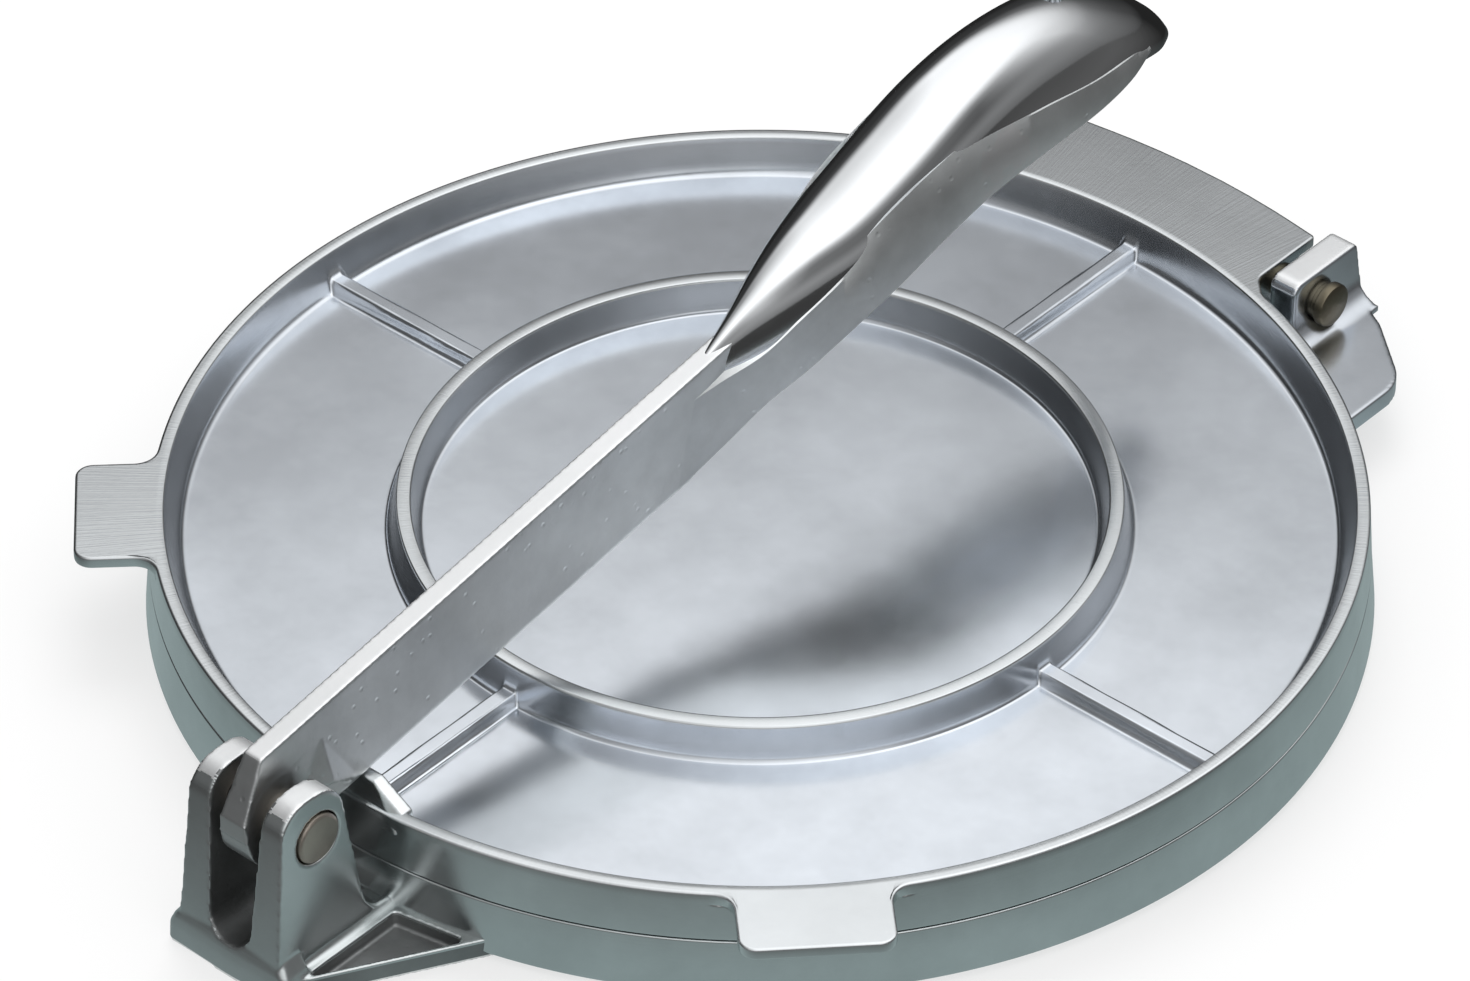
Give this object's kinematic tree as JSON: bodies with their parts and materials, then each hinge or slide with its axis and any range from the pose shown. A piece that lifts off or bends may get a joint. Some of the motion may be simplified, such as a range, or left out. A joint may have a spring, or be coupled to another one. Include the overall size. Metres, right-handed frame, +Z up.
{
  "type": "tortilla press",
  "caption": "Hand tortilla press of cast metal: hinged round plates, a forked lever mount in front and a long folding lever with a hollow handle.",
  "frame": {"origin": "on the table under the middle of the plates", "axes": "+Z up, -Y towards the lever's forked mount, +Y towards the plates' hinge, +X to the right seen from the front"},
  "size_m": [0.208, 0.2509, 0.0843],
  "materials": {
    "base_casting": "satin cast",
    "upper_casting": "satin cast",
    "lever_casting": "polished handle, satin bar",
    "lever_pin_steel": "satin",
    "hinge_pin_brass": "satin"
  },
  "bodies": {
    "base": {"base_plate": "base_casting", "lever_pin": "lever_pin_steel", "hinge_pin": "hinge_pin_brass"},
    "upper": {"upper_plate": "upper_casting"},
    "lever": {"lever": "lever_casting"}
  },
  "joints": [
    {"name": "lever_hinge", "type": "hinge", "parent": "base", "child": "lever", "pos_m": [0, -0.1181, 0.027], "axis": [1, 0, 0], "range_deg": [0, 150]},
    {"name": "upper_hinge", "type": "hinge", "parent": "base", "child": "upper", "pos_m": [0, 0.1084, 0.0164], "axis": [-1, 0, 0], "range_deg": [0, 105]}
  ],
  "couplings": [
    {"joint": "upper_hinge", "follows": "lever_hinge", "ratio": 0.08}
  ]
}
